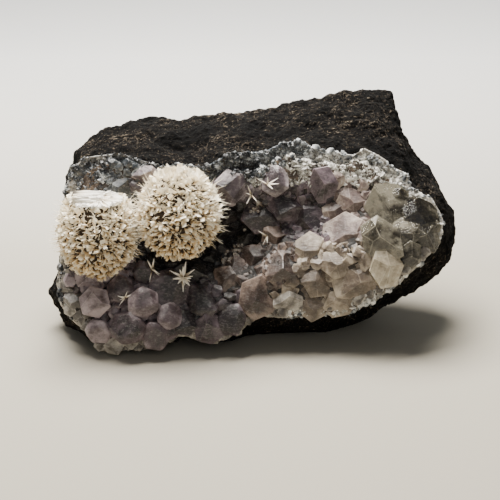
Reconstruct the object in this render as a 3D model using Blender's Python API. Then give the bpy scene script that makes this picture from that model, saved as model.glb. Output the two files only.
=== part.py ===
"""Amethyst on a basalt matrix, with two spiny zeolite balls and small star-shaped sprays.

Every piece is modelled face up, in millimetres turned to metres by MM:
x runs along the specimen, y up its crystal face and z out of the face, towards the viewer.
One empty, specimen, then stands the face up and leans it back by FACE_LEAN, so that the
flat patch under the rock lies on z = 0 and the bounding box is centred on the z axis.
"""

import math
import random

import bmesh
import bpy
from mathutils import Matrix, Vector, noise
from mathutils.bvhtree import BVHTree

MM = 0.001
FACE_LEAN = math.radians(20)
# The world's up, in the frame of the leaning face.
UP = Vector((0.0, math.cos(FACE_LEAN), math.sin(FACE_LEAN)))
# The clearance between touching pieces.
GAP = 0.5
SEED = 11

# Where the standing specimen's own origin lies, in world millimetres.
CENTRE_X = -0.6
CENTRE_Y = -35.1
BASE_RISE = 0.6

# Polar layout shared by the layers: the middle of the face, and how finely it is divided.
FACE_MIDDLE = Vector((-2.0, 38.0))
SEGMENTS = 42
FRONT_RINGS = 10
ROCK_RINGS = 23
BED_RINGS = 10

# The broken edge of the crystal-covered face, clockwise from the upper left corner.
CRUST_OUTLINE = (
    (-66.0, 57.0), (-63.5, 66.0), (-58.8, 69.7), (-47.6, 71.0), (-42.7, 70.0),
    (-32.2, 66.5), (-24.5, 67.5), (-16.8, 66.0), (-12.6, 68.3), (-8.0, 71.4),
    (2.5, 71.4), (7.0, 72.8), (11.2, 75.0), (16.5, 75.5), (21.7, 73.3),
    (29.4, 71.6), (36.1, 70.2), (39.0, 73.0), (44.5, 70.4), (49.5, 66.3),
    (55.0, 63.5), (56.0, 59.0), (62.7, 55.3), (65.8, 50.8), (67.4, 46.9),
    (66.2, 41.7), (62.7, 37.1), (59.2, 32.9), (51.8, 25.6), (42.4, 18.7),
    (33.3, 14.4), (26.3, 14.2), (12.3, 13.0), (2.8, 14.0), (-4.6, 8.4),
    (-9.5, 5.3), (-17.5, 4.9), (-24.9, 7.2), (-33.6, 2.4), (-44.1, 1.8),
    (-50.5, 0.8), (-53.9, 3.2), (-57.8, 7.7), (-63.0, 12.6), (-67.5, 18.0),
    (-68.4, 26.0), (-67.2, 37.0), (-66.7, 46.0),
)

# The outline of the rock where it is widest, part of the way back.
ROCK_OUTLINE = (
    (-66.0, 55.0), (-63.5, 68.0), (-60.5, 76.0), (-53.0, 80.5), (-44.8, 83.0),
    (-36.0, 84.5), (-27.0, 86.0), (-20.6, 85.5), (-13.0, 85.8), (2.8, 85.0),
    (11.2, 86.5), (19.3, 91.0), (31.0, 94.0), (38.5, 97.0), (43.5, 99.0),
    (48.0, 98.6), (51.5, 95.8), (53.8, 91.0), (54.2, 84.0), (54.6, 76.5),
    (60.6, 69.2), (67.0, 58.5), (71.0, 51.0), (72.0, 43.0), (70.5, 34.0),
    (67.0, 28.0), (62.0, 24.5), (53.0, 19.0), (45.0, 14.5), (36.0, 9.5),
    (20.0, 5.0), (-10.0, 4.0), (-40.0, 3.0), (-56.0, 7.0), (-65.0, 15.0),
    (-71.0, 24.0), (-66.0, 30.0), (-64.0, 42.0),
)

# How the rock runs from its front rim to the middle of its back: the share of the way,
# the depth behind the rim, the share of the widest outline, and the section's size.
ROCK_SECTIONS = (
    (0.00, 0.0, 0.00, 1.000),
    (0.10, -4.5, 0.22, 1.000),
    (0.26, -14.0, 0.62, 1.040),
    (0.44, -26.0, 1.00, 1.070),
    (0.60, -37.0, 1.00, 0.990),
    (0.74, -44.0, 1.00, 0.820),
    (0.88, -48.0, 1.00, 0.480),
    (1.00, -49.0, 1.00, 0.000),
)
# Deeper sections climb by this much a millimetre, so that the rock stands upright.
SECTION_CLIMB = 0.20
# Lumps that break up the rock's outside, as length and height, and its stepped ledges.
LUMPS = ((26.0, 3.0), (11.0, 1.7), (5.0, 0.9))
LEDGE_LENGTH = 9.0
LEDGE_HEIGHT = 1.2
# Over this depth behind its covered face the rock turns from smooth to rough.
ROUGH_DEPTH = 6.0

# Hollows and swellings of the crystal face: middle, half widths, turn in degrees, height.
FACE_FORMS = (
    ((-8.0, 41.0), (15.0, 13.0), 0, -11.0),
    ((20.0, 48.0), (19.0, 10.0), 4, -6.0),
    ((-30.0, 45.0), (22.0, 13.0), 0, -4.5),
    ((-40.0, 14.0), (24.0, 10.0), -8, 3.0),
    ((6.0, 29.0), (16.0, 10.0), 35, 4.0),
    ((40.0, 36.0), (24.0, 17.0), 0, 7.0),
)
RIM_DEPTH = 4.0
MIDDLE_DEPTH = 9.0
RIND_THICKNESS = 3.0
# How far the crystals stop short of the broken edge, along the top and elsewhere.
TOP_BAND = 6.5
SIDE_BAND = 1.2
# Grain of the bare rind: height, length, and how far outside the crystals it starts.
GRAIN_HEIGHT = 0.8
GRAIN_LENGTH = 3.0
GRAIN_START = 1.0
# The least thickness of the crystals' bed on the rind.
LEAST_BED = 1.2

# The crystals that show best: place on the face, half width, reach above the bed,
# and how far the tip leans along x and y.
CRYSTALS = (
    (-61.5, 20.0, 4.2, 5.0, -0.2, 0.1), (-54.5, 19.0, 5.2, 6.0, 0.0, 0.0),
    (-57.0, 28.0, 5.0, 4.5, 0.0, -0.2), (-46.0, 23.0, 4.6, 5.0, 0.1, 0.2),
    (-38.0, 18.5, 5.2, 6.5, 0.1, 0.1), (-43.0, 10.5, 6.2, 7.0, 0.0, -0.1),
    (-53.0, 9.0, 4.6, 5.0, -0.2, -0.1), (-48.5, 4.0, 3.6, 3.5, -0.1, -0.3),
    (-34.0, 8.0, 5.0, 5.5, 0.2, -0.2), (-29.0, 14.0, 4.4, 5.0, 0.2, 0.1),
    (-29.0, 23.0, 6.4, 7.0, 0.1, 0.2), (-18.0, 19.0, 6.6, 6.5, 0.0, 0.1),
    (-23.5, 12.0, 4.4, 4.5, 0.0, 0.0), (-15.0, 10.0, 5.2, 5.5, 0.1, -0.2),
    (-7.5, 13.0, 5.0, 5.5, 0.0, -0.1), (-20.0, 29.0, 4.6, 4.5, 0.0, 0.3),
    (-38.0, 29.0, 4.2, 4.5, 0.1, 0.2), (-10.0, 26.0, 4.4, 5.0, -0.2, 0.2),
    (-36.5, 62.5, 5.0, 4.5, 0.0, -0.1), (-54.0, 61.0, 4.4, 3.5, 0.0, 0.0),
    (-63.0, 54.0, 3.6, 3.5, -0.2, 0.0), (-45.0, 59.5, 3.8, 3.5, 0.0, 0.0),
    (-7.5, 59.5, 5.0, 6.0, 0.1, -0.2), (-15.0, 62.0, 3.8, 4.0, 0.0, 0.0),
    (0.5, 62.0, 4.0, 4.5, 0.0, 0.0), (8.0, 61.5, 4.4, 5.0, 0.0, 0.0),
    (16.0, 62.0, 4.0, 4.5, 0.0, 0.0), (25.0, 60.0, 5.8, 6.5, 0.0, -0.2),
    (12.0, 53.0, 5.2, 6.0, 0.1, 0.1), (3.5, 49.5, 5.6, 6.5, 0.1, 0.1),
    (21.0, 48.0, 5.4, 5.5, -0.2, 0.1), (30.0, 51.0, 4.8, 5.5, -0.2, 0.0),
    (-1.0, 42.0, 4.2, 5.0, 0.0, 0.2), (9.0, 41.5, 5.0, 6.0, 0.0, 0.0),
    (0.5, 34.0, 4.8, 6.5, -0.2, 0.2), (-6.0, 29.5, 4.8, 6.5, -0.3, 0.2),
    (11.5, 31.0, 6.2, 6.5, 0.0, 0.2), (20.0, 37.5, 5.2, 5.0, 0.0, 0.0),
    (2.0, 20.5, 5.8, 6.0, 0.0, -0.1), (12.5, 19.0, 5.2, 5.5, 0.0, -0.1),
    (22.5, 27.5, 6.2, 6.0, 0.0, 0.0), (21.0, 17.5, 4.6, 5.5, 0.0, -0.2),
    (30.5, 18.5, 5.0, 5.0, 0.1, -0.2), (36.0, 26.0, 7.4, 8.0, 0.1, -0.1),
    (32.0, 42.5, 6.4, 5.5, -0.1, 0.1), (36.0, 54.5, 5.4, 5.5, 0.0, 0.0),
    (45.0, 40.0, 7.2, 9.0, -0.1, 0.1), (46.0, 31.0, 6.0, 8.0, 0.2, -0.1),
    (48.0, 52.0, 6.6, 6.5, 0.1, 0.0), (58.5, 49.0, 5.6, 6.0, 0.2, 0.1),
    (60.0, 41.5, 5.0, 5.5, 0.3, 0.0), (54.0, 35.0, 4.6, 5.5, 0.2, -0.2),
    (45.0, 60.5, 4.2, 4.0, 0.0, 0.0), (-14.5, 34.5, 3.8, 4.0, 0.1, 0.2),
    (-8.0, 50.5, 4.0, 4.0, 0.1, -0.1), (-10.0, 44.0, 3.4, 3.5, 0.1, 0.0),
    (-28.5, 32.0, 3.4, 3.5, 0.0, 0.2), (29.5, 32.5, 5.0, 5.5, 0.0, 0.1),
    (53.0, 43.5, 4.6, 6.0, 0.1, 0.0),
)
CRYSTAL_SIDES = 6
# How deep a crystal's foot is sunk in the bed, and the share of its reach that is prism.
FOOT_DEPTH = 2.5
PRISM_SHARE = 0.35
# Cutters and rays start this far from the face's level, past everything.
FAR_BELOW = -45.0
FAR_ABOVE = 60.0

# The two balls: middle on the face, height of the middle, and half width, height and depth.
BALLS = {
    "zeolite_ball_left": ((-53.8, 44.0, 3.5), (13.2, 16.8, 12.5)),
    "zeolite_ball_right": ((-25.4, 50.0, 4.5), (14.0, 16.0, 13.0)),
}
SPINE_LENGTH = 2.0
# A spine's length as a share of SPINE_LENGTH, how far it sways, and the ball's unevenness.
SPINE_SHARES = (0.55, 0.92)
SPINE_SWAY = 0.12
BALL_UNEVENNESS = 0.015
# The hollow that a ball sits in is this much larger than the ball.
SOCKET_ROOM = 0.8
# The left ball is broken off level, this far above its middle.
BREAK_HEIGHT = 11.6

# The sprays of needles: place on the face and the longest needle.
SPRAYS = (
    (-24.5, 27.2, 4.2), (-35.0, 30.5, 3.6), (0.0, 56.6, 3.6), (5.6, 60.0, 3.4),
    (-44.0, 20.6, 2.6), (-12.3, 41.0, 2.6), (5.6, 42.0, 3.2),
)
# A spray's core and its needles, as shares of the longest needle.
SPRAY_CORE = 0.22
NEEDLE_SHARES = (0.7, 1.0)
# Needles that point down into the crust are this short, beside those that point up.
NEEDLE_LEVEL = 0.6
NEEDLE_RISE = 0.5
NEEDLE_LEAST = 0.15

COLOURS = {
    "basalt": ((0.028, 0.024, 0.019), 0.92),
    "chalcedony": ((0.23, 0.25, 0.27), 0.45),
    "amethyst": ((0.20, 0.15, 0.17), 0.30),
    "zeolite": ((0.75, 0.66, 0.52), 0.70),
}


def clear_scene():
    for obj in list(bpy.data.objects):
        bpy.data.objects.remove(obj)


def collection(name, hidden=False):
    made = bpy.data.collections.new(name)
    made.hide_render = hidden
    bpy.context.scene.collection.children.link(made)
    return made


def material(name):
    colour, roughness = COLOURS[name]
    made = bpy.data.materials.new(name)
    made.use_nodes = True
    shader = made.node_tree.nodes["Principled BSDF"]
    shader.inputs["Base Color"].default_value = (*colour, 1.0)
    shader.inputs["Roughness"].default_value = roughness
    shader.inputs["Metallic"].default_value = 0.0
    return made


def stand_up():
    """The empty that stands the face up, leans it back and sets the rock on z = 0."""
    made = bpy.data.objects.new("specimen", None)
    made.rotation_euler.x = math.pi / 2 - FACE_LEAN
    made.location = Vector((CENTRE_X, CENTRE_Y, BASE_RISE)) * MM
    bpy.context.scene.collection.objects.link(made)
    return made


def add(name, bm, group, parent, finish=None):
    """The bmesh, drawn in millimetres, as a named object in metres."""
    bmesh.ops.scale(bm, vec=(MM, MM, MM), verts=bm.verts)
    mesh = bpy.data.meshes.new(name)
    bm.to_mesh(mesh)
    bm.free()
    obj = bpy.data.objects.new(name, mesh)
    obj.parent = parent
    group.objects.link(obj)
    if finish:
        mesh.materials.append(finish)
    return obj


def reach_of(outline, angle):
    """Distance from FACE_MIDDLE to a closed outline, in the direction of angle."""
    ray = Vector((math.cos(angle), math.sin(angle)))
    farthest = 0.0
    for start, end in zip(outline, outline[1:] + outline[:1]):
        a = Vector(start) - FACE_MIDDLE
        side = Vector(end) - FACE_MIDDLE - a
        across = ray.x * side.y - ray.y * side.x
        if abs(across) < 1e-9:
            continue
        along_side = (a.x * ray.y - a.y * ray.x) / across
        along_ray = (a.x * side.y - a.y * side.x) / across
        if -1e-6 <= along_side <= 1 + 1e-6 and along_ray > farthest:
            farthest = along_ray
    return farthest


def crystal_limit(angle):
    """Distance from FACE_MIDDLE to where the crystals stop and the bare rind shows."""
    upward = max(0.0, math.sin(angle)) ** 0.5
    return reach_of(CRUST_OUTLINE, angle) - SIDE_BAND - (TOP_BAND - SIDE_BAND) * upward


def bed(x, y):
    """Height of the bed that the crystals stand on."""
    height = 0.0
    for (cx, cy), (wide, tall), turn, rise in FACE_FORMS:
        cos, sin = math.cos(math.radians(turn)), math.sin(math.radians(turn))
        u = ((x - cx) * cos + (y - cy) * sin) / wide
        v = ((y - cy) * cos - (x - cx) * sin) / tall
        height += rise * math.exp(-(u * u + v * v))
    return height


def rock_face(x, y):
    """Height of the rock under the layers: deeper in the middle than at the broken edge."""
    out = Vector((x, y)) - FACE_MIDDLE
    share = min(1.0, out.length / reach_of(CRUST_OUTLINE, math.atan2(out.y, out.x)))
    return bed(x, y) - MIDDLE_DEPTH + (MIDDLE_DEPTH - RIM_DEPTH) * share * share


def rind_face(x, y):
    """Height of the rind's outer side, granular only where no crystals cover it."""
    out = Vector((x, y)) - FACE_MIDDLE
    past_crystals = out.length - crystal_limit(math.atan2(out.y, out.x))
    grain = GRAIN_HEIGHT * noise.noise(Vector((x, y, 0.0)) / GRAIN_LENGTH)
    free = max(0.0, min(1.0, past_crystals - GRAIN_START))
    return rock_face(x, y) + GAP + RIND_THICKNESS + grain * free


def polar_ball(rings, place):
    """A sphere whose every point is moved by place(angle, share), share 0 at the front pole."""
    bm = bmesh.new()
    bmesh.ops.create_uvsphere(bm, u_segments=SEGMENTS, v_segments=rings, radius=1.0)
    for vert in bm.verts:
        share = math.acos(max(-1.0, min(1.0, vert.co.z))) / math.pi
        vert.co = place(math.atan2(vert.co.y, vert.co.x), share)
    bmesh.ops.recalc_face_normals(bm, faces=bm.faces)
    return bm


def on_face(angle, distance):
    return FACE_MIDDLE + Vector((math.cos(angle), math.sin(angle))) * distance


def blend_rows(rows, share):
    """The values of a table of rows at a share between their first numbers."""
    for before, after in zip(rows, rows[1:]):
        if share <= after[0]:
            t = (share - before[0]) / (after[0] - before[0])
            return [a + (b - a) * t for a, b in zip(before[1:], after[1:])]
    return list(rows[-1][1:])


def rock_point(angle, share):
    """A point of the rock: across the front to the rim, then back along the sections."""
    front_share = FRONT_RINGS / ROCK_RINGS
    front = reach_of(CRUST_OUTLINE, angle)
    rim = on_face(angle, front)
    if share < front_share:
        x, y = on_face(angle, front * share / front_share)
        return Vector((x, y, rock_face(x, y)))
    depth, wide, size = blend_rows(ROCK_SECTIONS, (share - front_share) / (1 - front_share))
    reach = front * (1 - wide) + reach_of(ROCK_OUTLINE, angle) * wide
    x, y = on_face(angle, reach * size)
    climb = -depth * SECTION_CLIMB * max(0.0, 1 - size)
    return Vector((x, y + climb, rock_face(rim.x, rim.y) + depth))


def roughen(bm):
    """Breaks the rock's outside into lumps and ledges, and leaves its covered face smooth."""
    bm.normal_update()
    moves = []
    for vert in bm.verts:
        depth = rock_face(*vert.co.xy) - vert.co.z
        free = max(0.0, min(1.0, depth / ROUGH_DEPTH))
        lumps = sum(height * noise.noise(vert.co / length) for length, height in LUMPS)
        ledge = LEDGE_HEIGHT * (noise.cell(vert.co / LEDGE_LENGTH) - 0.5)
        moves.append(vert.normal * (lumps + ledge) * free)
    for vert, move in zip(bm.verts, moves):
        vert.co += move


def cut_level(bm, height, keep_above):
    """Cuts the mesh off level in the world, height above the face's origin, and closes it."""
    geom = list(bm.verts) + list(bm.edges) + list(bm.faces)
    bmesh.ops.bisect_plane(
        bm, geom=geom, dist=1e-5, plane_co=UP * height, plane_no=UP,
        clear_inner=keep_above, clear_outer=not keep_above,
    )
    open_edges = [edge for edge in bm.edges if edge.is_boundary]
    bmesh.ops.holes_fill(bm, edges=open_edges, sides=0)
    bmesh.ops.recalc_face_normals(bm, faces=bm.faces)


def make_rock(group, parent, finish):
    bm = polar_ball(ROCK_RINGS, rock_point)
    roughen(bm)
    cut_level(bm, -BASE_RISE, keep_above=True)
    return add("basalt_matrix", bm, group, parent, finish)


def make_rind(group, parent, finish):
    """The layer on the rock's face. Its outer side is granular, its inner side fits the rock."""

    def place(angle, share):
        across = 1 - abs(1 - 2 * share)
        x, y = on_face(angle, reach_of(CRUST_OUTLINE, angle) * across)
        height = rock_face(x, y) + GAP
        if share < 0.5:
            height = rind_face(x, y)
        if across > 0.999:
            height = rock_face(x, y) + GAP + RIND_THICKNESS / 2
        return Vector((x, y, height))

    return add("chalcedony_rind", polar_ball(2 * FRONT_RINGS, place), group, parent, finish)


def make_bed():
    """The crystals' common bed, which reaches a little into the rind, to be cut from it."""

    def place(angle, share):
        across = 1 - abs(1 - 2 * share)
        x, y = on_face(angle, crystal_limit(angle) * across)
        if share < 0.5:
            return Vector((x, y, max(bed(x, y), rind_face(x, y) + LEAST_BED)))
        return Vector((x, y, rind_face(x, y) - GAP))

    return polar_ball(BED_RINGS, place)


def make_floor_of_bed(group, parent):
    """The cutter that ends the crystals just above the rind, inside and outside its edge."""

    def place(angle, share):
        across = 1 - abs(1 - 2 * share)
        rim = reach_of(CRUST_OUTLINE, angle)
        x, y = on_face(angle, rim * across * FRONT_RINGS / (FRONT_RINGS - 2))
        height = rind_face(x, y) + 1.5 * GAP if share < 0.5 else FAR_BELOW
        return Vector((x, y, height))

    return add("floor_of_bed", polar_ball(2 * FRONT_RINGS, place), group, parent)


def add_crystal(bm, foot, half_width, reach, tip_lean, turn):
    """A six-sided prism under a pyramid, its foot sunk in the bed."""
    length = reach + FOOT_DEPTH
    made = bmesh.ops.create_cone(
        bm, cap_ends=True, segments=CRYSTAL_SIDES, radius1=half_width,
        radius2=half_width, depth=length * PRISM_SHARE,
    )["verts"]
    bmesh.ops.translate(bm, verts=made, vec=(0, 0, length * PRISM_SHARE / 2))
    top = max({f for v in made for f in v.link_faces}, key=lambda f: f.calc_center_median().z)
    tip = bmesh.ops.poke(bm, faces=[top])["verts"]
    tip[0].co.z = length
    made += tip
    lean = Vector((tip_lean[0], tip_lean[1], 1.0)).to_track_quat("Z", "Y").to_matrix().to_4x4()
    move = Matrix.Translation(foot) @ lean @ Matrix.Rotation(turn, 4, "Z")
    bmesh.ops.transform(bm, matrix=move, verts=made)


def make_crystals():
    rng = random.Random(SEED)
    bm = bmesh.new()
    for x, y, half_width, reach, lean_x, lean_y in CRYSTALS:
        foot = Vector((x, y, bed(x, y) - FOOT_DEPTH))
        turn = rng.uniform(0, math.pi / 3)
        add_crystal(bm, foot, half_width, reach, (lean_x, lean_y), turn)
    bmesh.ops.recalc_face_normals(bm, faces=bm.faces)
    return bm


def join(obj, crystals):
    """Unites the bed with crystals that also cross each other."""
    modifier = obj.modifiers.new("join", "BOOLEAN")
    modifier.operation = "UNION"
    modifier.solver = "EXACT"
    modifier.use_self = True
    modifier.object = crystals
    crystals.display_type = "WIRE"
    crystals.hide_render = True


def cut(obj, other):
    """Takes other away from obj. The exact solver loses most of the crust in these cuts."""
    modifier = obj.modifiers.new("cut_" + other.name, "BOOLEAN")
    modifier.operation = "DIFFERENCE"
    modifier.solver = "MANIFOLD"
    modifier.object = other
    other.display_type = "WIRE"
    other.hide_render = True


def bake(obj):
    """Applies an object's modifiers and drops the loose crumbs that a cut leaves."""
    graph = bpy.context.evaluated_depsgraph_get()
    mesh = bpy.data.meshes.new_from_object(obj.evaluated_get(graph))
    obj.modifiers.clear()
    obj.data = mesh
    bm = bmesh.new()
    bm.from_mesh(mesh)
    islands, left = [], set(bm.verts)
    while left:
        island, front = set(), [left.pop()]
        while front:
            vert = front.pop()
            island.add(vert)
            near = {edge.other_vert(vert) for edge in vert.link_edges} & left
            left -= near
            front.extend(near)
        islands.append(island)
    largest = max(islands, key=len)
    bmesh.ops.delete(bm, geom=[v for v in bm.verts if v not in largest], context="VERTS")
    bm.to_mesh(mesh)
    bm.free()


def moved_copy(obj, rise, group, parent):
    """A cutter: the piece itself, moved out of the face by rise."""
    copy = bpy.data.objects.new(obj.name + "_moved", obj.data)
    copy.parent = parent
    copy.location.z = rise * MM
    group.objects.link(copy)
    return copy


def make_socket(name, middle, half_sizes, group, parent):
    """The smooth hollow that a ball sits in, a little larger than the ball."""
    bm = bmesh.new()
    bmesh.ops.create_icosphere(bm, subdivisions=3, radius=1.0)
    room = [half + SOCKET_ROOM for half in half_sizes]
    bmesh.ops.scale(bm, vec=room, verts=bm.verts)
    bmesh.ops.translate(bm, vec=middle, verts=bm.verts)
    return add(name + "_socket", bm, group, parent)


def make_ball(name, middle, half_sizes, group, parent, finish):
    """A ball with a spine on every face of an icosphere."""
    rng = random.Random(name)
    bm = bmesh.new()
    bmesh.ops.create_icosphere(bm, subdivisions=3, radius=1.0)
    for vert in bm.verts:
        vert.co *= 1 + rng.uniform(-BALL_UNEVENNESS, BALL_UNEVENNESS)
    inner = [half - SPINE_LENGTH for half in half_sizes]
    bmesh.ops.scale(bm, vec=inner, verts=bm.verts)
    tips = bmesh.ops.poke(bm, faces=list(bm.faces))["verts"]
    bm.normal_update()
    for tip in tips:
        sway = Vector([rng.uniform(-SPINE_SWAY, SPINE_SWAY) for _ in range(3)])
        tip.co += (tip.normal + sway) * SPINE_LENGTH * rng.uniform(*SPINE_SHARES)
    bmesh.ops.translate(bm, vec=middle, verts=bm.verts)
    if name == "zeolite_ball_left":
        cut_level(bm, Vector(middle).dot(UP) + BREAK_HEIGHT, keep_above=False)
    return add(name, bm, group, parent, finish)


def make_spray(name, place, longest, crust, group, parent, finish):
    """A star of needles standing on the crystals: a small core with long spines."""
    rng = random.Random(name)
    tree = BVHTree.FromObject(crust, bpy.context.evaluated_depsgraph_get())
    above = Vector((place[0], place[1], FAR_ABOVE)) * MM
    hit = tree.ray_cast(above, Vector((0, 0, -1)))[0] / MM
    bm = bmesh.new()
    core = SPRAY_CORE * longest
    bmesh.ops.create_icosphere(bm, subdivisions=1, radius=core)
    tips = bmesh.ops.poke(bm, faces=list(bm.faces))["verts"]
    bm.normal_update()
    for tip in tips:
        upward = max(NEEDLE_LEAST, NEEDLE_LEVEL + NEEDLE_RISE * tip.normal.z)
        tip.co += tip.normal * (longest - core) * rng.uniform(*NEEDLE_SHARES) * upward
    bmesh.ops.translate(bm, vec=hit + Vector((0, 0, core)), verts=bm.verts)
    return add(name, bm, group, parent, finish)


def main():
    clear_scene()
    pieces = collection("amethyst_on_matrix")
    cutters = collection("cutters", hidden=True)
    specimen = stand_up()
    finishes = {name: material(name) for name in COLOURS}

    rock = make_rock(pieces, specimen, finishes["basalt"])
    rind = make_rind(pieces, specimen, finishes["chalcedony"])
    crust = add("amethyst_crust", make_bed(), pieces, specimen, finishes["amethyst"])
    crystals = add("crystals", make_crystals(), cutters, specimen)
    join(crust, crystals)
    bake(crust)

    sockets = []
    for name, (middle, half_sizes) in BALLS.items():
        sockets.append(make_socket(name, middle, half_sizes, cutters, specimen))
    for layer in (rock, rind, crust):
        for socket in sockets:
            cut(layer, socket)
    for layer in (rock, rind):
        bake(layer)
    cut(crust, make_floor_of_bed(cutters, specimen))
    bake(crust)

    for name, (middle, half_sizes) in BALLS.items():
        make_ball(name, middle, half_sizes, pieces, specimen, finishes["zeolite"])
    crust_cutters = [moved_copy(crust, rise, cutters, specimen) for rise in (GAP, 0.0)]
    for number, (x, y, longest) in enumerate(SPRAYS, start=1):
        name = f"zeolite_spray_{number}"
        spray = make_spray(name, (x, y), longest, crust, pieces, specimen, finishes["zeolite"])
        for cutter in crust_cutters:
            cut(spray, cutter)
        bake(spray)


main()
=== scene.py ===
import functools
import math
import random

import bmesh
import bpy
from mathutils import Matrix, Vector, noise
from mathutils.bvhtree import BVHTree


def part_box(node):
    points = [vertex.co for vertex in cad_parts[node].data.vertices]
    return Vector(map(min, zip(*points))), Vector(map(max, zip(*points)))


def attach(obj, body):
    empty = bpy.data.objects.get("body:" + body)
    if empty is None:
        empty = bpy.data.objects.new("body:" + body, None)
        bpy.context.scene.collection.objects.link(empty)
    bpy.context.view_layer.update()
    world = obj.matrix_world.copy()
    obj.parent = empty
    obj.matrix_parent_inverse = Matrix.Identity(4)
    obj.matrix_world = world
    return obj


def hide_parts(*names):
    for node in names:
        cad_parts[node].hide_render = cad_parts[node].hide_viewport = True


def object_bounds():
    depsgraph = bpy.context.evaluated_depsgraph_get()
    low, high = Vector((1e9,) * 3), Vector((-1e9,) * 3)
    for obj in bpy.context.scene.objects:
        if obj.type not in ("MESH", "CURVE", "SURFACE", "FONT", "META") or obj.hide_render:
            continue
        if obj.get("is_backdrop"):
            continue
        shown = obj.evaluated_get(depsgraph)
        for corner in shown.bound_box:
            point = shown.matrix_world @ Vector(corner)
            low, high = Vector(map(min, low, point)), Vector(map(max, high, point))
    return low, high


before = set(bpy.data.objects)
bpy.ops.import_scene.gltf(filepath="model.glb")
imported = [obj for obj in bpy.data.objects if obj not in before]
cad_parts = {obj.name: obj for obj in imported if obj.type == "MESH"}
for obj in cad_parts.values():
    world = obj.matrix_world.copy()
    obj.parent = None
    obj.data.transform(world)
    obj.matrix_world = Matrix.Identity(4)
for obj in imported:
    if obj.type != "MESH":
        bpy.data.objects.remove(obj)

cad_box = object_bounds()

# Pieces are modelled in millimetres with the crystal face lying flat, x along the specimen,
# y up its face and z out of it. FACE stands them up where the solids stand, in metres.
MM = 0.001
FACE_LEAN = math.radians(20)
FACE_ORIGIN = Vector((-0.6, -35.1, 0.6))
FACE = (
    Matrix.Translation(FACE_ORIGIN * MM)
    @ Matrix.Rotation(math.pi / 2 - FACE_LEAN, 4, "X")
    @ Matrix.Scale(MM, 4)
)
# The specimen's own upward direction, as seen on the lying face.
UP = Vector((0.0, math.cos(FACE_LEAN), math.sin(FACE_LEAN)))

# The broken edge of the crystal-covered face, as the solids have it.
FACE_MIDDLE = Vector((-2.0, 38.0))
CRUST_OUTLINE = (
    (-66, 57), (-63.5, 66), (-58.8, 69.7), (-47.6, 71), (-42.7, 70), (-32.2, 66.5),
    (-24.5, 67.5), (-16.8, 66), (-12.6, 68.3), (-8, 71.4), (2.5, 71.4), (7, 72.8),
    (11.2, 75), (16.5, 75.5), (21.7, 73.3), (29.4, 71.6), (36.1, 70.2), (39, 73),
    (44.5, 70.4), (49.5, 66.3), (55, 63.5), (56, 59), (62.7, 55.3), (65.8, 50.8),
    (67.4, 46.9), (66.2, 41.7), (62.7, 37.1), (59.2, 32.9), (51.8, 25.6), (42.4, 18.7),
    (33.3, 14.4), (26.3, 14.2), (12.3, 13), (2.8, 14), (-4.6, 8.4), (-9.5, 5.3),
    (-17.5, 4.9), (-24.9, 7.2), (-33.6, 2.4), (-44.1, 1.8), (-50.5, 0.8), (-53.9, 3.2),
    (-57.8, 7.7), (-63, 12.6), (-67.5, 18), (-68.4, 26), (-67.2, 37), (-66.7, 46),
)
# Hollows and swellings of the face: middle, half sizes, turn in degrees, and rise.
FACE_FORMS = (
    ((-8, 41), (15, 13), 0, -11),
    ((20, 48), (19, 10), 4, -6),
    ((-30, 45), (22, 13), 0, -4.5),
    ((-40, 14), (24, 10), -8, 3),
    ((6, 29), (16, 10), 35, 4),
    ((40, 36), (24, 17), 0, 7),
)
# The rock lies this far under the face at its rim and in its middle, and clear of the rind.
RIM_DEPTH = 4.0
MIDDLE_DEPTH = 9.0
GAP = 0.5
RIND_THICKNESS = 3.0
# Width of bare rind between the broken edge and the crust, at the top and at the sides.
TOP_BAND = 6.5
SIDE_BAND = 1.2
# The crust's floor is at least this thick.
LEAST_BED = 1.2

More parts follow.
